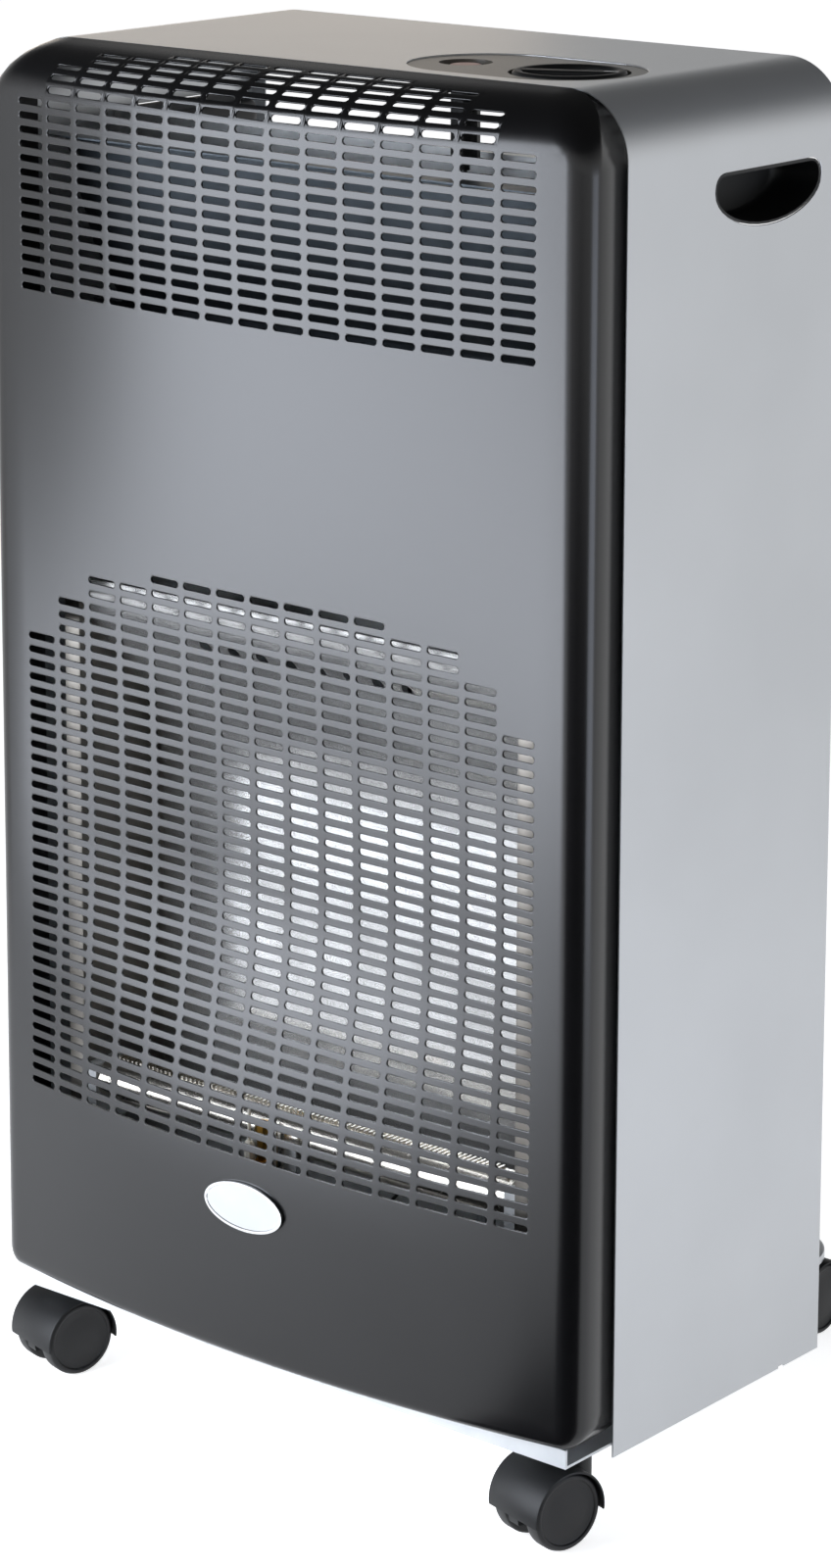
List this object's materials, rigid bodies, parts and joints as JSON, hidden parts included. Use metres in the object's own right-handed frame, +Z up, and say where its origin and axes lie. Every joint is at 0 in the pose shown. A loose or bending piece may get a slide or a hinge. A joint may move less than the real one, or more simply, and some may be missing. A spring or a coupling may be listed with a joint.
{
  "type": "portable gas cabinet heater",
  "caption": "Slim gas cabinet heater: silver casing, black slotted front with flame reflector, top knob and spark button, side finger handles, fold-up bottle shelf on swivel casters.",
  "frame": {"origin": "on the floor under the middle of the heater's overall outline, shelf down", "axes": "+X to the right of someone facing the front, -Y the front, +Z up"},
  "size_m": [0.42, 0.3872, 0.7756],
  "materials": {
    "silver_paint": "smooth silver powder coat, semi-gloss",
    "black_enamel": "charcoal stove enamel, semi-gloss",
    "badge_enamel": "blank pale oval plate, gloss",
    "zinc_plate": "bright zinc plated mild steel",
    "bright_stainless": "bright annealed stainless sheet",
    "burner_steel": "plain stainless, heat tinted",
    "cast_aluminium": "as cast",
    "brass": "turned brass",
    "ceramic": "glazed white ceramic with a bare wire tip",
    "grey_plastic": "grey-brown moulding, semi-gloss",
    "black_plastic": "black moulding, fine texture",
    "red_plastic": "dark red moulding",
    "steel_pipe": "drawn steel tube",
    "wheel_nylon": "black nylon, tread scuffed matt"
  },
  "bodies": {
    "cabinet": {"casing": "silver_paint", "front_panel": "black_enamel", "badge": "badge_enamel", "bulkhead": "zinc_plate", "base_plate": "zinc_plate", "reflector": "bright_stainless", "hot_air_deflector": "bright_stainless", "burner_bar": "burner_steel", "burner_riser": "cast_aluminium", "venturi": "cast_aluminium", "injector": "brass", "pilot_bracket": "zinc_plate", "pilot_burner": "brass", "spark_electrode": "ceramic", "thermocouple": "burner_steel", "gas_valve": "cast_aluminium", "control_bezel": "grey_plastic", "hose_inlet": "brass", "piezo_igniter": "black_plastic", "gas_pipe": "steel_pipe", "pilot_pipe": "steel_pipe", "thermocouple_lead": "steel_pipe", "spark_lead": "black_plastic", "handle_cup_right": "black_plastic", "handle_cup_left": "black_plastic", "reflector_leg_left": "zinc_plate", "burner_bracket_left": "zinc_plate", "shelf_hinge_bracket_left": "zinc_plate", "shelf_hinge_pin_left": "zinc_plate", "reflector_leg_right": "zinc_plate", "burner_bracket_right": "zinc_plate", "shelf_hinge_bracket_right": "zinc_plate", "shelf_hinge_pin_right": "zinc_plate", "caster_plate_front_left": "zinc_plate", "caster_plate_front_right": "zinc_plate"},
    "valve_plug": {"valve_plug": "brass"},
    "knob": {"control_knob": "black_plastic", "valve_spindle": "cast_aluminium"},
    "ignition_button": {"ignition_button": "red_plastic"},
    "shelf": {"bottle_shelf": "silver_paint", "caster_plate_rear_left": "zinc_plate", "caster_plate_rear_right": "zinc_plate"},
    "caster_front_left": {"caster_hood_front_left": "black_plastic", "caster_axle_front_left": "zinc_plate"},
    "wheel_front_left_a": {"caster_wheel_front_left_a": "wheel_nylon"},
    "wheel_front_left_b": {"caster_wheel_front_left_b": "wheel_nylon"},
    "caster_front_right": {"caster_hood_front_right": "black_plastic", "caster_axle_front_right": "zinc_plate"},
    "wheel_front_right_a": {"caster_wheel_front_right_a": "wheel_nylon"},
    "wheel_front_right_b": {"caster_wheel_front_right_b": "wheel_nylon"},
    "caster_rear_left": {"caster_hood_rear_left": "black_plastic", "caster_axle_rear_left": "zinc_plate"},
    "wheel_rear_left_a": {"caster_wheel_rear_left_a": "wheel_nylon"},
    "wheel_rear_left_b": {"caster_wheel_rear_left_b": "wheel_nylon"},
    "caster_rear_right": {"caster_hood_rear_right": "black_plastic", "caster_axle_rear_right": "zinc_plate"},
    "wheel_rear_right_a": {"caster_wheel_rear_right_a": "wheel_nylon"},
    "wheel_rear_right_b": {"caster_wheel_rear_right_b": "wheel_nylon"}
  },
  "joints": [
    {"name": "knob_turn", "type": "hinge", "parent": "cabinet", "child": "valve_plug", "pos_m": [0.13, -0.0867, 0.741], "axis": [0, 0, 1], "range_deg": [0, 200]},
    {"name": "knob_push", "type": "slide", "parent": "valve_plug", "child": "knob", "axis": [0, 0, -1], "range_m": [0, 0.004], "stiffness_N_per_m": 800, "springref_m": -0.002},
    {"name": "button_push", "type": "slide", "parent": "cabinet", "child": "ignition_button", "axis": [0, 0, -1], "range_m": [0, 0.0045], "stiffness_N_per_m": 600, "springref_m": -0.003},
    {"name": "shelf_fold", "type": "hinge", "parent": "cabinet", "child": "shelf", "pos_m": [0, -0.0627, 0.0465], "axis": [1, 0, 0], "range_deg": [0, 90]},
    {"name": "swivel_front_left", "type": "hinge", "parent": "cabinet", "child": "caster_front_left", "pos_m": [-0.178, -0.1327, 0.05], "axis": [0, 0, 1], "continuous": true},
    {"name": "roll_front_left_a", "type": "hinge", "parent": "caster_front_left", "child": "wheel_front_left_a", "pos_m": [-0.19424, -0.14823, 0.0215], "axis": [0.9703, -0.2419, 0], "continuous": true},
    {"name": "roll_front_left_b", "type": "hinge", "parent": "caster_front_left", "child": "wheel_front_left_b", "pos_m": [-0.17095, -0.15404, 0.0215], "axis": [0.9703, -0.2419, 0], "continuous": true},
    {"name": "swivel_front_right", "type": "hinge", "parent": "cabinet", "child": "caster_front_right", "pos_m": [0.178, -0.1327, 0.05], "axis": [0, 0, 1], "continuous": true},
    {"name": "roll_front_right_a", "type": "hinge", "parent": "caster_front_right", "child": "wheel_front_right_a", "pos_m": [0.16176, -0.14823, 0.0215], "axis": [0.9703, -0.2419, 0], "continuous": true},
    {"name": "roll_front_right_b", "type": "hinge", "parent": "caster_front_right", "child": "wheel_front_right_b", "pos_m": [0.18505, -0.15404, 0.0215], "axis": [0.9703, -0.2419, 0], "continuous": true},
    {"name": "swivel_rear_left", "type": "hinge", "parent": "shelf", "child": "caster_rear_left", "pos_m": [-0.112, 0.1513, 0.05], "axis": [0, 0, 1], "continuous": true},
    {"name": "roll_rear_left_a", "type": "hinge", "parent": "caster_rear_left", "child": "wheel_rear_left_a", "pos_m": [-0.1, 0.1703, 0.0215], "axis": [1, 0, 0], "continuous": true},
    {"name": "roll_rear_left_b", "type": "hinge", "parent": "caster_rear_left", "child": "wheel_rear_left_b", "pos_m": [-0.124, 0.1703, 0.0215], "axis": [1, 0, 0], "continuous": true},
    {"name": "swivel_rear_right", "type": "hinge", "parent": "shelf", "child": "caster_rear_right", "pos_m": [0.112, 0.1513, 0.05], "axis": [0, 0, 1], "continuous": true},
    {"name": "roll_rear_right_a", "type": "hinge", "parent": "caster_rear_right", "child": "wheel_rear_right_a", "pos_m": [0.124, 0.1703, 0.0215], "axis": [1, 0, 0], "continuous": true},
    {"name": "roll_rear_right_b", "type": "hinge", "parent": "caster_rear_right", "child": "wheel_rear_right_b", "pos_m": [0.1, 0.1703, 0.0215], "axis": [1, 0, 0], "continuous": true}
  ]
}
